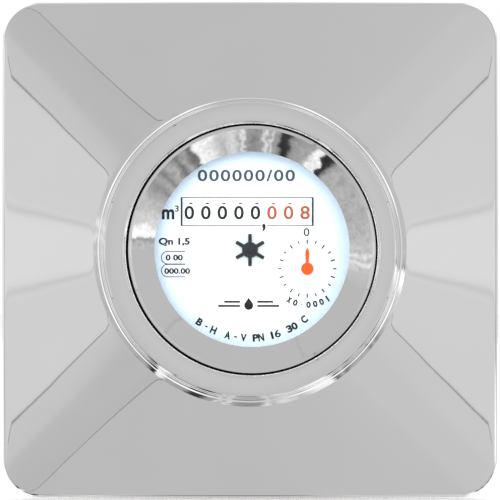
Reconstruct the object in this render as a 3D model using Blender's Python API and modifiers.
"""Flush-mounted single-jet water meter: chromed wall plate, dry-dial register, brass in-wall body.

World frame: X to the right along the pipe, +Z up, -Y out of the wall towards the reader. The origin is where
the dial axis crosses the finished wall surface. Every piece hangs from the empty "dial_axis", whose own frame
is the one used below: x right, y up, and z (called height) out of the wall towards the reader.
"""

import math

import bpy
import bmesh

MM = 0.001
TURN = 2 * math.pi
GAP = 0.3 * MM  # between pieces that touch on the real object

# wall plate: a rounded-square rim, four sloping faces and a round collar
PLATE_HALF = 75.0 * MM
PLATE_CORNER = 11.0 * MM
RIM_STEP = 1.6 * MM  # how far the rounded rim draws in
RIM_HEIGHT = 2.2 * MM  # at the corners. The rim rises towards the middle of each side.
RIM_ROUND = 1.3 * MM
SHEET = 1.2 * MM
FACE_SLOPE = 0.32
CROWN_BASE = 0.77 * MM  # each face swells between its corners by this much, and by CROWN_RATE of its distance out
CROWN_RATE = 0.0274
FILLET_R = 3.3 * MM
COLLAR_R = 44.5 * MM
COLLAR_TOP = 19.0 * MM
COLLAR_EDGE = 1.2 * MM
PLATE_MOUTH_R = 38.0 * MM
PLATE_TUBE_R = 39.8 * MM
PLATE_TUBE_END = -5.0 * MM
SIDE_STEPS = 6
CORNER_STEPS = 4

# chromed sleeve with the sloping bezel
SLEEVE_R = 37.1 * MM
SLEEVE_WALL = 0.8 * MM
SLEEVE_END = -23.2 * MM
SLEEVE_OFF_CENTRE = (0.6 * MM, 0.2 * MM)  # the sleeve fits loosely, and sits a little off the dial axis
BEZEL_TOP = 16.6 * MM
BEZEL_INNER_R = 29.35 * MM
BEZEL_EDGE = 11.7 * MM

# register
HOUSING_R = 32.0 * MM
HOUSING_INNER_R = 30.6 * MM
HOUSING_TOP = 6.9 * MM
HOUSING_FLOOR = -19.0 * MM
HOUSING_BOTTOM = -20.2 * MM
HOUSING_FLANGE_R = 33.2 * MM
LENS_TOP = 10.0 * MM
LENS_THICK = 2.0 * MM
DIAL_TOP = 5.6 * MM
DIAL_THICK = 0.6 * MM
DIAL_R = 30.2 * MM
PLATE_TOP = -10.3 * MM  # front face of the movement plate
PLATE_THICK = 1.0 * MM

# digit rollers
ROLLERS = 8
ROLLER_R = 7.5 * MM
ROLLER_PITCH = 5.0 * MM
ROLLER_RIM = 4.3 * MM
ROLLER_Y = 11.3 * MM
ROLLER_HEIGHT = -2.2 * MM
FIRST_ROLLER_X = -18.35 * MM
SHAFT_R = 0.9 * MM
CARRY_TEETH = 20
CARRY_PINION_TEETH = 8
CARRY_MODULE = 0.62 * MM
CARRY_WIDTH = 0.5 * MM
CARRY_ANGLE = math.radians(60)  # where the pinions stand round the rollers, from straight back towards the top
CARRY_SHAFT_R = 0.6 * MM

# gear train: arbors stand parallel to the dial axis
ARBOR_R = 0.6 * MM
ARBOR_FOOT = -18.6 * MM
POINTER_XY = (17.3 * MM, -5.65 * MM)
IDLER_XY = (6.80 * MM, -5.89 * MM)
WORM_XY = (22.3 * MM, 5.3 * MM)
TRAIN_MODULE = 0.5 * MM
PINION_LEAVES = 6
IDLER_TEETH = 30
POINTER_TEETH = 36
DRIVE_TEETH = 20
DRIVE_MODULE = 0.602 * MM
WORM_PITCH_R = 2.0 * MM
WORM_WHEEL_TEETH = 10
WORM_WHEEL_R = 4.0 * MM
POINTER_LAYER = -12.8 * MM
IDLER_LAYER = -14.3 * MM
DRIVE_LAYER = -16.0 * MM
WHEEL_THICK = 1.0 * MM
POSTS = ((-23.5 * MM, -8.6 * MM), (8.6 * MM, -23.5 * MM), (-12.5 * MM, 21.7 * MM))

# wet side
PIPE_HEIGHT = -41.0 * MM
BODY_LENGTH = 110.0 * MM
PORT_R = 13.22 * MM  # outside of a G 3/4 B thread
PORT_BORE_R = 7.5 * MM
PORT_BORE_DEPTH = 17.0 * MM
HEX_FLATS = 30.0 * MM
BODY_BOTTOM = -52.0 * MM
CHAMBER_R = 26.0 * MM
CHAMBER_TOP = -26.5 * MM
CHAMBER_FLOOR = -46.0 * MM
RIM_TOP = -21.0 * MM
RIM_R = 33.4 * MM
RIM_BORE_R = 31.0 * MM
CLAMP_R = 35.4 * MM
BLADES = 8
BLADE_R = 24.0 * MM

BRASS = ("brass", (0.72, 0.53, 0.26), 0.35, 1.0)
CHROME = ("chrome", (0.82, 0.82, 0.83), 0.06, 1.0)
STEEL = ("steel", (0.60, 0.60, 0.62), 0.25, 1.0)
WHITE = ("white_plastic", (0.88, 0.90, 0.92), 0.45, 0.0)
BLACK = ("black_plastic", (0.03, 0.035, 0.04), 0.45, 0.0)
RED = ("red_plastic", (0.86, 0.20, 0.06), 0.40, 0.0)
BLUE = ("impeller_plastic", (0.15, 0.32, 0.62), 0.40, 0.0)
RUBBER = ("rubber", (0.03, 0.03, 0.03), 0.80, 0.0)
MAGNET = ("magnet", (0.16, 0.16, 0.17), 0.55, 0.6)
GLASS = ("lens_clear", (0.90, 0.95, 0.97), 0.05, 0.0)
JEWEL = ("jewel", (0.60, 0.08, 0.16), 0.10, 0.0)


# ---------------------------------------------------------------- tools

def start_scene():
    for old in list(bpy.data.objects):
        bpy.data.objects.remove(old, do_unlink=True)
    for name in ("water_meter", "cutters"):
        bpy.context.scene.collection.children.link(bpy.data.collections.new(name))
    axis = bpy.data.objects.new("dial_axis", None)
    axis.rotation_euler = (math.radians(90), 0, 0)
    bpy.data.collections["water_meter"].objects.link(axis)
    return axis


def material(spec):
    name, rgb, roughness, metallic = spec
    made = bpy.data.materials.get(name)
    if made is None:
        made = bpy.data.materials.new(name)
        made.use_nodes = True
        shader = made.node_tree.nodes["Principled BSDF"]
        shader.inputs["Base Color"].default_value = (*rgb, 1)
        shader.inputs["Roughness"].default_value = roughness
        shader.inputs["Metallic"].default_value = metallic
        made.diffuse_color = (*rgb, 1)
    return made


def add(name, data, spec, at=(0, 0, 0), turn=(0, 0, 0)):
    """A named object on the dial axis. A spec of None makes it a cutter or a joining piece, which isn't a part."""
    obj = bpy.data.objects.new(name, data)
    obj.parent = AXIS
    obj.location = at
    obj.rotation_euler = turn
    if spec is None:
        obj.hide_render = True
        obj.display_type = "WIRE"
        bpy.data.collections["cutters"].objects.link(obj)
    else:
        data.materials.clear()
        data.materials.append(material(spec))
        bpy.data.collections["water_meter"].objects.link(obj)
    return obj


def turned(name, profile, spec, segments=40, at=(0, 0, 0), turn=(0, 0, 0)):
    """A profile of (radius, height) points spun about the height axis. It runs down its outer side. A profile
    that leaves the axis is closed on itself, and makes a ring."""
    mesh = bpy.data.meshes.new(name)
    count = len(profile)
    ring = profile[0][0] > 0
    edges = [(i, (i + 1) % count) for i in range(count if ring else count - 1)]
    mesh.from_pydata([(r, 0, z) for r, z in profile], edges, [])
    obj = add(name, mesh, spec, at, turn)
    screw = obj.modifiers.new("turn", "SCREW")
    screw.steps = segments
    screw.render_steps = segments
    screw.use_merge_vertices = True
    screw.merge_threshold = 0.00001
    screw.use_smooth_shade = False
    return obj


def disc(name, radius, low, high, spec, segments=24, at=(0, 0, 0), turn=(0, 0, 0)):
    """A plain cylinder between two heights."""
    mesh = bpy.data.meshes.new(name)
    shape = bmesh.new()
    bmesh.ops.create_cone(
        shape, cap_ends=True, segments=segments, radius1=radius, radius2=radius, depth=high - low
    )
    bmesh.ops.translate(shape, vec=(0, 0, (low + high) / 2), verts=shape.verts)
    shape.to_mesh(mesh)
    shape.free()
    return add(name, mesh, spec, at, turn)


def hoop(name, bore, radius, low, high, spec, segments=40, at=(0, 0, 0), turn=(0, 0, 0)):
    """A plain ring between two heights."""
    return turned(name, [(bore, high), (radius, high), (radius, low), (bore, low)], spec, segments, at, turn)


def box(name, low, high, spec):
    mesh = bpy.data.meshes.new(name)
    shape = bmesh.new()
    bmesh.ops.create_cube(shape, size=1)
    size = [b - a for a, b in zip(low, high)]
    middle = [(a + b) / 2 for a, b in zip(low, high)]
    bmesh.ops.scale(shape, vec=size, verts=shape.verts)
    bmesh.ops.translate(shape, vec=middle, verts=shape.verts)
    shape.to_mesh(mesh)
    shape.free()
    return add(name, mesh, spec)


def circle(radius, count, middle=(0, 0)):
    return [
        (middle[0] + radius * math.cos(TURN * i / count), middle[1] + radius * math.sin(TURN * i / count))
        for i in range(count)
    ]


def cut_flat(name, outlines, low, high, spec, at=(0, 0, 0), turn=(0, 0, 0)):
    """A sheet between two heights. The first outline is its edge, and the others are holes in it."""
    curve = bpy.data.curves.new(name, "CURVE")
    curve.dimensions = "2D"
    curve.fill_mode = "BOTH"
    curve.extrude = (high - low) / 2
    for outline in outlines:
        spline = curve.splines.new("POLY")
        spline.points.add(len(outline) - 1)
        for point, (x, y) in zip(spline.points, outline):
            point.co = (x, y, 0, 1)
        spline.use_cyclic_u = True
    obj = add(name, curve, None, (0, 0, (low + high) / 2))
    return as_mesh(obj, name, spec, at, turn)


def as_mesh(obj, name, spec, at=(0, 0, 0), turn=(0, 0, 0)):
    """A new object whose mesh is the evaluated shape of obj, modifiers and own offset included."""
    bpy.context.view_layer.update()
    evaluated = obj.evaluated_get(bpy.context.evaluated_depsgraph_get())
    mesh = bpy.data.meshes.new_from_object(evaluated)
    mesh.name = name
    mesh.transform(obj.matrix_basis)
    shape = bmesh.new()
    shape.from_mesh(mesh)
    bmesh.ops.remove_doubles(shape, verts=shape.verts, dist=0.000001)
    bmesh.ops.recalc_face_normals(shape, faces=shape.faces)
    shape.to_mesh(mesh)
    shape.free()
    bpy.data.objects.remove(obj, do_unlink=True)
    mesh.materials.clear()
    return add(name, mesh, spec, at, turn)


def boolean(obj, other, operation):
    modifier = obj.modifiers.new(other.name, "BOOLEAN")
    modifier.operation = operation
    modifier.object = other
    return obj


def gear_outline(teeth, root_r, tip_r, root_share, tip_share, phase=0.0):
    """Straight-sided teeth. The shares are each tooth's width at its root and tip, as parts of the pitch. A tip
    share of nothing makes pointed teeth."""
    pitch = TURN / teeth
    points = []
    crest = [(-tip_share, tip_r), (tip_share, tip_r)] if tip_share else [(0, tip_r)]
    for tooth in range(teeth):
        middle = phase + tooth * pitch
        for share, radius in [(-root_share, root_r)] + crest + [(root_share, root_r)]:
            angle = middle + share * pitch / 2
            points.append((radius * math.cos(angle), radius * math.sin(angle)))
    return points


def wheel_outline(teeth, module, phase=0.0):
    pitch_r = teeth * module / 2
    return gear_outline(teeth, pitch_r - 1.15 * module, pitch_r + 0.80 * module, 0.64, 0, phase)


def pinion_outline(leaves, module, phase=0.0):
    pitch_r = leaves * module / 2
    return gear_outline(leaves, pitch_r - 1.05 * module, pitch_r + 0.65 * module, 0.46, 0.14, phase)


# ---------------------------------------------------------------- wall plate

def rounded_square(half, corner):
    """Points round a square with rounded corners, counter-clockwise from the lower end of its right side."""
    points = []
    straight = half - corner
    for quarter in range(4):
        turn = quarter * TURN / 4
        side = [(half, straight * (2 * i / SIDE_STEPS - 1)) for i in range(SIDE_STEPS)]
        for i in range(CORNER_STEPS):
            angle = TURN / 4 * i / CORNER_STEPS
            side.append((straight + corner * math.cos(angle), straight + corner * math.sin(angle)))
        for x, y in side:
            points.append(
                (x * math.cos(turn) - y * math.sin(turn), x * math.sin(turn) + y * math.cos(turn))
            )
    return points


def face_level(x, y):
    """Half the side of the rounded square through a point. Every such square has the same corners."""
    corner = PLATE_CORNER - RIM_STEP
    far, near = max(abs(x), abs(y)), min(abs(x), abs(y))
    if near <= far - corner:
        return far
    return corner + (far + near - math.sqrt(max(2 * corner ** 2 - (far - near) ** 2, 0))) / 2


def face_height(x, y):
    """The sloping face, with a swell across it that dies out evenly towards each corner ridge."""
    corner = PLATE_CORNER - RIM_STEP
    far, near = max(abs(x), abs(y)), min(abs(x), abs(y))
    straight = far - corner
    past = near / straight - 1
    if past > 0:
        swell = past * past * straight / corner - 2 * past
    else:
        swell = 1 - (near / straight) ** 2
    inside = PLATE_HALF - RIM_STEP - face_level(x, y)
    return RIM_HEIGHT + FACE_SLOPE * inside + (CROWN_BASE + CROWN_RATE * far) * swell


def cover_plate():
    """One pressed sheet: rim, sloping faces, a fillet up to the round collar, and a tube turned in behind it."""
    inner_rim = rounded_square(PLATE_HALF - RIM_STEP, PLATE_CORNER - RIM_STEP)
    count = len(inner_rim)
    angles = [(i - SIDE_STEPS / 2) * TURN / count for i in range(count)]
    foot_r = COLLAR_R + FILLET_R
    rows = []
    outer_rim = rounded_square(PLATE_HALF, PLATE_CORNER)
    rows.append([(x, y, 0.0) for x, y in outer_rim])
    rows.append([(*out, face_height(*inner) - RIM_ROUND) for out, inner in zip(outer_rim, inner_rim)])
    for share in (0.0, 0.5):
        row = []
        for (x, y), angle in zip(inner_rim, angles):
            px = x + share * (foot_r * math.cos(angle) - x)
            py = y + share * (foot_r * math.sin(angle) - y)
            row.append((px, py, face_height(px, py)))
        rows.append(row)
    for turn in (90, 50, 20, 0):
        bend = math.radians(turn)
        radius = foot_r - FILLET_R * math.cos(bend)
        row = []
        for angle in angles:
            px, py = radius * math.cos(angle), radius * math.sin(angle)
            row.append((px, py, face_height(px, py) + FILLET_R * (1 - math.sin(bend))))
        rows.append(row)
    for radius, height in (
        (COLLAR_R, COLLAR_TOP - COLLAR_EDGE),
        (COLLAR_R - COLLAR_EDGE, COLLAR_TOP),
        (PLATE_MOUTH_R + 1.2 * MM, COLLAR_TOP),
        (PLATE_MOUTH_R, COLLAR_TOP - 1.0 * MM),
        (PLATE_MOUTH_R, 11.4 * MM),
        (PLATE_TUBE_R, 10.4 * MM),
        (PLATE_TUBE_R, PLATE_TUBE_END),
    ):
        rows.append([(radius * math.cos(angle), radius * math.sin(angle), height) for angle in angles])
    faces = []
    for row in range(len(rows) - 1):
        for i in range(count):
            j = (i + 1) % count
            faces.append((row * count + i, row * count + j, (row + 1) * count + j, (row + 1) * count + i))
    mesh = bpy.data.meshes.new("cover_plate")
    mesh.from_pydata([point for row in rows for point in row], [], faces)
    obj = add("cover_plate", mesh, CHROME)
    shell = obj.modifiers.new("sheet", "SOLIDIFY")
    shell.thickness = SHEET
    shell.offset = -1
    shell.use_even_offset = True
    return obj


def o_ring(name, middle_r, section_r, at):
    bpy.ops.mesh.primitive_torus_add(
        major_radius=middle_r, minor_radius=section_r, major_segments=32, minor_segments=6
    )
    torus = bpy.context.object
    mesh = torus.data
    mesh.name = name
    bpy.data.objects.remove(torus, do_unlink=True)
    return add(name, mesh, RUBBER, at)


def trim():
    cover_plate()
    o_ring("plate_friction_ring", SLEEVE_R + 0.9 * MM, 0.62 * MM, (*SLEEVE_OFF_CENTRE, -2.0 * MM))
    inside = SLEEVE_R - SLEEVE_WALL
    turned(
        "bezel_sleeve",
        [
            (BEZEL_INNER_R, BEZEL_EDGE),
            (SLEEVE_R - 0.5 * MM, BEZEL_TOP),
            (SLEEVE_R, BEZEL_TOP - 0.6 * MM),
            (SLEEVE_R, SLEEVE_END),
            (inside, SLEEVE_END),
            (inside, 13.6 * MM),
            (inside - 1.0 * MM, 13.6 * MM),
            (BEZEL_INNER_R + 1.6 * MM, LENS_TOP + 0.5 * MM),
            (BEZEL_INNER_R, LENS_TOP + 0.5 * MM),
        ],
        CHROME,
        at=(*SLEEVE_OFF_CENTRE, 0),
    )
    o_ring("sleeve_o_ring", 35.6 * MM, 0.5 * MM, (*SLEEVE_OFF_CENTRE, -19.2 * MM))


# ---------------------------------------------------------------- register

def register_case():
    housing = turned(
        "housing_cup",
        [
            (0, HOUSING_FLOOR),
            (HOUSING_INNER_R, HOUSING_FLOOR),
            (HOUSING_INNER_R, HOUSING_TOP),
            (HOUSING_R, HOUSING_TOP),
            (HOUSING_R, HOUSING_BOTTOM + 2.3 * MM),
            (HOUSING_FLANGE_R, HOUSING_BOTTOM + 2.3 * MM),
            (HOUSING_FLANGE_R, HOUSING_BOTTOM),
            (0, HOUSING_BOTTOM),
        ],
        None,
    )
    post_top = PLATE_TOP - PLATE_THICK - GAP
    for number, (x, y) in enumerate(POSTS, 1):
        post = disc(f"post_{number}", 2.2 * MM, HOUSING_FLOOR - 0.5 * MM, post_top, None, 10, (x, y, 0))
        boolean(housing, post, "UNION")
        pilot = disc(f"pilot_{number}", 1.1 * MM, post_top - 5.5 * MM, post_top + 1 * MM, None, 8, (x, y, 0))
        boolean(housing, pilot, "DIFFERENCE")
    as_mesh(housing, "register_housing", WHITE)
    gasket_low = HOUSING_TOP + GAP
    hoop("lens_gasket", 30.8 * MM, 31.8 * MM, gasket_low, gasket_low + 0.5 * MM, RUBBER)
    disc("dial_lens", 31.9 * MM, LENS_TOP - LENS_THICK, LENS_TOP, GLASS, 48)
    hoop("magnet_shield", 10.3 * MM, 11.1 * MM, -18.6 * MM, -15.2 * MM, STEEL, 32)


def dial():
    window = [(-20.65, 8.3), (18.95, 8.3), (18.95, 15.1), (-20.65, 15.1)]
    cut_flat(
        "dial_plate",
        [
            circle(DIAL_R, 48),
            [(x * MM, y * MM) for x, y in window],
            circle(6.1 * MM, 24),
            circle(1.0 * MM, 8, POINTER_XY),
        ],
        DIAL_TOP - DIAL_THICK,
        DIAL_TOP,
        WHITE,
    )


def movement_frame():
    """The plate behind the rollers, with the two cheeks that carry their shafts and the worm's front bearing."""
    holes = [circle(0.9 * MM, 8, xy) for xy in ((0, 0), POINTER_XY, IDLER_XY, WORM_XY)]
    holes += [circle(1.1 * MM, 8, xy) for xy in POSTS]
    frame = cut_flat(
        "plate_blank", [circle(30.2 * MM, 40)] + holes, PLATE_TOP - PLATE_THICK, PLATE_TOP, None
    )
    cheek_top = DIAL_TOP - DIAL_THICK - GAP
    low = PLATE_TOP - 0.4 * MM
    left = box("left_cheek", (-22.2 * MM, 5.5 * MM, low), (-21.3 * MM, 20.2 * MM, cheek_top), None)
    right = box("right_cheek", (19.5 * MM, 8.2 * MM, low), (20.5 * MM, 20.2 * MM, cheek_top), None)
    lug = box("worm_lug", (19.9 * MM, 3.6 * MM, 2.9 * MM), (24.2 * MM, 9.6 * MM, 4.1 * MM), None)
    for piece in (left, right, lug):
        boolean(frame, piece, "UNION")
    along = (0, math.radians(90), 0)
    carry_y, carry_height = carry_axis()
    bores = [
        disc("shaft_bore", SHAFT_R + GAP, -30 * MM, 30 * MM, None, 10, (0, ROLLER_Y, ROLLER_HEIGHT), along),
        disc("carry_bore", CARRY_SHAFT_R + GAP, -30 * MM, 30 * MM, None, 8, (0, carry_y, carry_height), along),
        disc("lug_bore", 0.9 * MM, 0, 6 * MM, None, 8, (*WORM_XY, 0)),
    ]
    for bore in bores:
        boolean(frame, bore, "DIFFERENCE")
    as_mesh(frame, "movement_frame", STEEL)
    for number, (x, y) in enumerate(POSTS, 1):
        turned(
            f"movement_screw_{number}",
            [
                (0, PLATE_TOP + 1.3 * MM),
                (1.7 * MM, PLATE_TOP + 1.3 * MM),
                (1.7 * MM, PLATE_TOP + GAP),
                (0.8 * MM, PLATE_TOP + GAP),
                (0.8 * MM, PLATE_TOP - 5.5 * MM),
                (0, PLATE_TOP - 5.5 * MM),
            ],
            STEEL,
            10,
            (x, y, 0),
        )


# ---------------------------------------------------------------- digit rollers and carry pinions

def carry_axis():
    """(y, height) of the carry pinions' shaft."""
    reach = (CARRY_TEETH + CARRY_PINION_TEETH) * CARRY_MODULE / 2
    return ROLLER_Y + reach * math.sin(CARRY_ANGLE), ROLLER_HEIGHT - reach * math.cos(CARRY_ANGLE)


def roller_mesh():
    """A drum with a toothed ring on its right, and on its left the two-toothed disc that makes the carry."""
    half = ROLLER_RIM / 2
    bore = SHAFT_R + GAP
    step = 0.25 * MM
    overlap = 0.3 * MM
    drum = disc("drum", ROLLER_R, -half, half, None, 20)
    ring = cut_flat("carry_ring", [wheel_outline(CARRY_TEETH, CARRY_MODULE, CARRY_ANGLE)],
                    half - overlap, half + step, None)
    lock_r = CARRY_TEETH * CARRY_MODULE / 2 - 1.3 * CARRY_MODULE
    lock = disc("lock_disc", lock_r, -half - step, -half + overlap, None, 12)
    boolean(drum, ring, "UNION")
    boolean(drum, lock, "UNION")
    for number in (3, 4):
        angle = CARRY_ANGLE + number * TURN / CARRY_TEETH
        tooth_at = (lock_r * math.cos(angle), lock_r * math.sin(angle), 0)
        tooth = disc(f"carry_tooth_{number}", 0.5 * MM, -half - step, -half + overlap, None, 6, tooth_at)
        boolean(drum, tooth, "UNION")
    boolean(drum, disc("roller_bore", bore, -4 * MM, 4 * MM, None, 10), "DIFFERENCE")
    shaped = as_mesh(drum, "roller_shape", None)
    return shaped.data


def rollers():
    along = (0, math.radians(90), 0)
    shape = roller_mesh()
    shape.materials.append(material(WHITE))
    carry_y, carry_height = carry_axis()
    pitch = TURN / CARRY_PINION_TEETH
    facing = CARRY_ANGLE + TURN / 2
    pinion = cut_flat(
        "pinion_shape",
        [pinion_outline(CARRY_PINION_TEETH, CARRY_MODULE, facing + pitch / 2), circle(CARRY_SHAFT_R + GAP, 8)],
        -CARRY_WIDTH / 2,
        CARRY_WIDTH / 2,
        None,
    ).data
    pinion.materials.append(material(WHITE))
    for number in range(1, ROLLERS + 1):
        x = FIRST_ROLLER_X + (number - 1) * ROLLER_PITCH
        add(f"digit_roller_{number}", shape, WHITE, (x, ROLLER_Y, ROLLER_HEIGHT), along)
        if number < ROLLERS:
            at = (x + ROLLER_PITCH / 2, carry_y, carry_height)
            add(f"carry_pinion_{number}", pinion, WHITE, at, along)
    disc("roller_shaft", SHAFT_R, -22.0 * MM, 23.8 * MM, STEEL, 12, (0, ROLLER_Y, ROLLER_HEIGHT), along)
    disc("carry_shaft", CARRY_SHAFT_R, -22.0 * MM, 20.3 * MM, STEEL, 10, (0, carry_y, carry_height), along)
    wheel_r = WORM_WHEEL_R
    outline = gear_outline(WORM_WHEEL_TEETH, wheel_r - 0.75 * MM, wheel_r + 0.45 * MM, 0.50, 0.20,
                           math.pi / 2)
    cut_flat("worm_wheel", [outline, circle(SHAFT_R + GAP, 12)], -0.8 * MM, 0.8 * MM, WHITE,
             (WORM_XY[0], ROLLER_Y, ROLLER_HEIGHT), along)


# ---------------------------------------------------------------- gear train

def arbor(name, xy, low, high, spec=STEEL):
    return disc(name, ARBOR_R, low, high, spec, 10, (*xy, 0))


def pinned_wheel(name, xy, outline, low, spec=WHITE, thick=WHEEL_THICK, bore=ARBOR_R + GAP):
    return cut_flat(name, [outline, circle(bore, 8)], low, low + thick, spec, (*xy, 0))


def leaf_arbor(name, xy, low, high, leaf_low, leaf_high, phase):
    """An arbor with a six-leaf pinion cut in one piece with it."""
    shaft = disc(f"{name}_blank", ARBOR_R, low, high, None, 10)
    leaves = cut_flat(f"{name}_leaves", [pinion_outline(PINION_LEAVES, TRAIN_MODULE, phase)],
                      leaf_low, leaf_high, None)
    boolean(shaft, leaves, "UNION")
    return as_mesh(shaft, name, STEEL, (*xy, 0))


def bearing_of(start, end):
    return math.atan2(end[1] - start[1], end[0] - start[0])


def star():
    """Six rounded arms round a hub: it turns with the smallest flow."""
    arms, hub, tip, half = 6, 2.6 * MM, 4.9 * MM, 0.6 * MM
    points = []
    for arm in range(arms):
        turn = TURN / 4 + arm * TURN / arms
        spread = math.asin(half / hub)
        local = [
            (hub * math.cos(spread), -half),
            (tip - 0.25 * MM, -half),
            (tip, -half + 0.3 * MM),
            (tip, half - 0.3 * MM),
            (tip - 0.25 * MM, half),
            (hub * math.cos(spread), half),
            (hub * math.cos(math.pi / arms), hub * math.sin(math.pi / arms)),
        ]
        for x, y in local:
            points.append(
                (x * math.cos(turn) - y * math.sin(turn), x * math.sin(turn) + y * math.cos(turn))
            )
    return cut_flat("star_wheel", [points], 5.3 * MM, 6.3 * MM, BLACK)


def pointer():
    hub_r = 1.85 * MM
    neck = 0.42 * MM
    start = math.asin(neck / hub_r)
    arc = [
        (hub_r * math.sin(a), hub_r * math.cos(a))
        for a in (start + (TURN - 2 * start) * i / 16 for i in range(17))
    ]
    needle = [(-0.62 * MM, 5.0 * MM), (0.0, 6.6 * MM), (0.62 * MM, 5.0 * MM)]
    return cut_flat("flow_pointer", [arc + needle], 6.3 * MM, 7.0 * MM, RED, (*POINTER_XY, 0))


def worm():
    """A single-start worm and its arbor: the radius follows the thread round and along it."""
    lead = TURN * WORM_WHEEL_R / WORM_WHEEL_TEETH
    root, crest = WORM_PITCH_R - 0.65 * MM, WORM_PITCH_R + 0.40 * MM
    low, high = ROLLER_HEIGHT - 4.4 * MM, ROLLER_HEIGHT + 4.4 * MM
    around, along = 12, 28
    shape = bmesh.new()
    rings = []
    for step in range(along + 1):
        height = low + (high - low) * step / along
        ring = []
        for i in range(around):
            angle = TURN * i / around
            turns = ((height - ROLLER_HEIGHT) / lead - angle / TURN + 0.25) % 1.0
            side = abs(turns - 0.5) * lead
            flank = min(max((side - 0.30 * MM) / (0.30 * MM), 0.0), 1.0)
            taper = min(1.0, (height - low) / (0.6 * MM), (high - height) / (0.6 * MM))
            radius = root + (crest - root) * (1 - flank) * taper
            ring.append(shape.verts.new((radius * math.cos(angle), radius * math.sin(angle), height)))
        rings.append(ring)
    for below, above in zip(rings, rings[1:]):
        for i in range(around):
            j = (i + 1) % around
            shape.faces.new((below[i], below[j], above[j], above[i]))
    shape.faces.new(list(reversed(rings[0])))
    shape.faces.new(rings[-1])
    bmesh.ops.triangulate(shape, faces=shape.faces)
    mesh = bpy.data.meshes.new("worm_thread")
    shape.to_mesh(mesh)
    shape.free()
    thread = add("worm_thread", mesh, None)
    blank = disc("worm_blank", ARBOR_R, ARBOR_FOOT, 3.9 * MM, None, 10)
    boolean(blank, thread, "UNION")
    return as_mesh(blank, "worm_arbor", STEEL, (*WORM_XY, 0))


def gear_train():
    star()
    pointer()
    centre = (0.0, 0.0)
    to_idler = bearing_of(centre, IDLER_XY)
    leaf_arbor("centre_arbor", centre, ARBOR_FOOT, 5.0 * MM, IDLER_LAYER - 0.1 * MM,
               IDLER_LAYER + WHEEL_THICK + 0.1 * MM, to_idler)
    hoop("follower_magnet", ARBOR_R + GAP, 8.0 * MM, -18.4 * MM, -15.2 * MM, MAGNET, 28)
    gap_phase = to_idler + TURN / 2 + TURN / IDLER_TEETH / 2
    pinned_wheel("idler_wheel", IDLER_XY, wheel_outline(IDLER_TEETH, TRAIN_MODULE, gap_phase), IDLER_LAYER)
    to_pointer = bearing_of(IDLER_XY, POINTER_XY)
    leaf_arbor("idler_arbor", IDLER_XY, ARBOR_FOOT, -10.6 * MM, POINTER_LAYER - 0.1 * MM,
               POINTER_LAYER + WHEEL_THICK + 0.1 * MM, to_pointer)
    gap_phase = to_pointer + TURN / 2 + TURN / POINTER_TEETH / 2
    pinned_wheel("pointer_wheel", POINTER_XY, wheel_outline(POINTER_TEETH, TRAIN_MODULE, gap_phase),
                 POINTER_LAYER)
    arbor("pointer_arbor", POINTER_XY, ARBOR_FOOT, 6.0 * MM)
    to_worm = bearing_of(POINTER_XY, WORM_XY)
    pinned_wheel("pointer_drive_gear", POINTER_XY, wheel_outline(DRIVE_TEETH, DRIVE_MODULE, to_worm),
                 DRIVE_LAYER)
    gap_phase = to_worm + TURN / 2 + TURN / DRIVE_TEETH / 2
    pinned_wheel("worm_drive_gear", WORM_XY, wheel_outline(DRIVE_TEETH, DRIVE_MODULE, gap_phase), DRIVE_LAYER)
    worm()


# ---------------------------------------------------------------- wet side

def body_casting():
    """Cast cup with a threaded rim, in-line ports, wrench hexagons and the tangential water way."""
    cup = turned(
        "cup_blank",
        [
            (0, RIM_TOP),
            (RIM_R, RIM_TOP),
            (RIM_R, -27.2 * MM),
            (35.0 * MM, -27.2 * MM),
            (35.0 * MM, -30.0 * MM),
            (33.2 * MM, -32.0 * MM),
            (32.0 * MM, -48.0 * MM),
            (28.0 * MM, BODY_BOTTOM),
            (0, BODY_BOTTOM),
        ],
        None,
    )
    half = BODY_LENGTH / 2
    along = (0, math.radians(90), 0)
    barrel = disc("port_barrel", PORT_R, -half, half, None, 28, (0, 0, PIPE_HEIGHT), along)
    boolean(cup, barrel, "UNION")
    for name, side in (("inlet", -1), ("outlet", 1)):
        low, high = sorted((side * 37.6 * MM, side * 44.5 * MM))
        hexagon = disc(f"{name}_hex", HEX_FLATS / math.sqrt(3), low, high, None, 6, (0, 0, PIPE_HEIGHT), along)
        boolean(cup, hexagon, "UNION")
    cavity = turned(
        "cavity",
        [
            (0, 0),
            (RIM_BORE_R, 0),
            (RIM_BORE_R, CHAMBER_TOP),
            (CHAMBER_R, CHAMBER_TOP),
            (CHAMBER_R, CHAMBER_FLOOR),
            (2.8 * MM, CHAMBER_FLOOR),
            (2.8 * MM, CHAMBER_FLOOR - 2.3 * MM),
            (0, CHAMBER_FLOOR - 2.3 * MM),
        ],
        None,
        32,
    )
    boolean(cup, cavity, "DIFFERENCE")
    for name, side in (("inlet", -1), ("outlet", 1)):
        low, high = sorted((side * (half + 2 * MM), side * (half - PORT_BORE_DEPTH)))
        bore = disc(f"{name}_bore", PORT_BORE_R, low, high, None, 20, (0, 0, PIPE_HEIGHT), along)
        boolean(cup, bore, "DIFFERENCE")
        start, end = (side * 41 * MM, -1.0 * MM), (side * 13 * MM, 18 * MM)
        length = math.dist(start, end)
        lean = math.atan2(end[1] - start[1], end[0] - start[0])
        nozzle = disc(f"{name}_nozzle", 4.2 * MM, 0, length, None, 12, (*start, PIPE_HEIGHT),
                      (0, math.radians(90), lean))
        boolean(cup, nozzle, "DIFFERENCE")
    return as_mesh(cup, "body_casting", BRASS)


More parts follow.
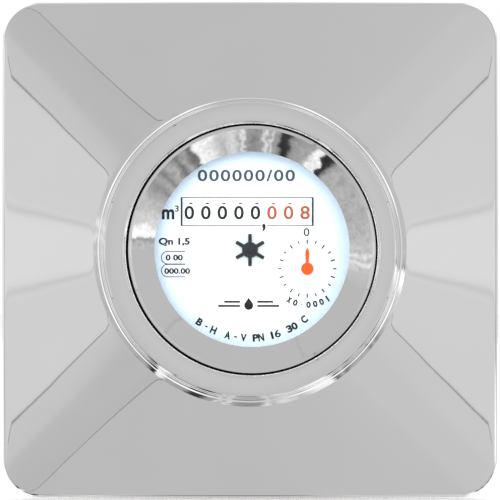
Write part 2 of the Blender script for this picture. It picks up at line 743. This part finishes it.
def strainer():
    """Basket in the inlet, open towards the pipe, with slots across its closed end."""
    end = -BODY_LENGTH / 2
    low, high = end + 0.5 * MM, end + 15.5 * MM
    cup = turned(
        "strainer_blank",
        [
            (0, high),
            (7.1 * MM, high),
            (7.1 * MM, low),
            (6.3 * MM, low),
            (6.3 * MM, high - 0.9 * MM),
            (0, high - 0.9 * MM),
        ],
        None,
        24,
        (0, 0, PIPE_HEIGHT),
        (0, math.radians(90), 0),
    )
    for number in (-1, 0, 1):
        y = number * 3.2 * MM
        slot = box(f"strainer_slot_{number + 2}", (high - 4 * MM, y - 0.8 * MM, PIPE_HEIGHT - 4.2 * MM),
                   (high + 1 * MM, y + 0.8 * MM, PIPE_HEIGHT + 4.2 * MM), None)
        boolean(cup, slot, "DIFFERENCE")
    return as_mesh(cup, "inlet_strainer", WHITE)


def impeller():
    hub_top, hub_low = -29.4 * MM, -44.6 * MM
    bore = 0.8 * MM + GAP
    hub = disc("impeller_hub", 5.5 * MM, hub_low, hub_top, None, 24)
    for number in range(BLADES // 2):
        blade = box(f"blades_{number}", (-BLADE_R, -0.6 * MM, -44.2 * MM), (BLADE_R, 0.6 * MM, -33.0 * MM), None)
        blade.rotation_euler = (0, 0, number * TURN / BLADES)
        boolean(hub, blade, "UNION")
    boolean(hub, disc("hub_bore", bore, -60 * MM, 0, None, 12), "DIFFERENCE")
    as_mesh(hub, "impeller", BLUE)
    hoop("drive_magnet", bore, 6.5 * MM, -29.1 * MM, -25.8 * MM, MAGNET, 24)
    disc("impeller_spindle", 0.8 * MM, -47.4 * MM, -23.4 * MM, STEEL, 12)


def bearing(name, low, high, hole_low, hole_high):
    """A jewel cup for one end of the spindle, open on the side where the hole reaches the face."""
    bore = 0.8 * MM + GAP
    if hole_low > low:
        profile = [(0, hole_low), (bore, hole_low), (bore, high), (2.5 * MM, high), (2.5 * MM, low), (0, low)]
    else:
        profile = [(0, high), (2.5 * MM, high), (2.5 * MM, low), (bore, low), (bore, hole_high), (0, hole_high)]
    return turned(name, profile, JEWEL, 14)


def wet_side():
    body_casting()
    strainer()
    turned(
        "pressure_plate",
        [
            (0, -20.6 * MM),
            (30.6 * MM, -20.6 * MM),
            (30.6 * MM, -24.4 * MM),
            (2.8 * MM, -24.4 * MM),
            (2.8 * MM, -22.4 * MM),
            (0, -22.4 * MM),
        ],
        BRASS,
        40,
    )
    bearing("upper_bearing", -24.8 * MM, -22.7 * MM, -24.8 * MM, -23.1 * MM)
    bearing("lower_bearing", CHAMBER_FLOOR - 2.0 * MM, CHAMBER_FLOOR + 0.4 * MM, CHAMBER_FLOOR - 1.7 * MM, 0)
    o_ring("chamber_seal", 28.6 * MM, 0.75 * MM, (0, 0, -25.45 * MM))
    thread_r = RIM_R + GAP
    turned(
        "clamp_ring",
        [
            (32.4 * MM, -15.0 * MM),
            (CLAMP_R, -15.0 * MM),
            (CLAMP_R, -18.3 * MM),
            (34.25 * MM, -18.3 * MM),
            (34.25 * MM, -20.1 * MM),
            (CLAMP_R, -20.1 * MM),
            (CLAMP_R, -26.8 * MM),
            (thread_r, -26.8 * MM),
            (thread_r, -17.5 * MM),
            (32.4 * MM, -17.5 * MM),
        ],
        BRASS,
    )
    impeller()


AXIS = start_scene()
trim()
register_case()
dial()
movement_frame()
rollers()
gear_train()
wet_side()
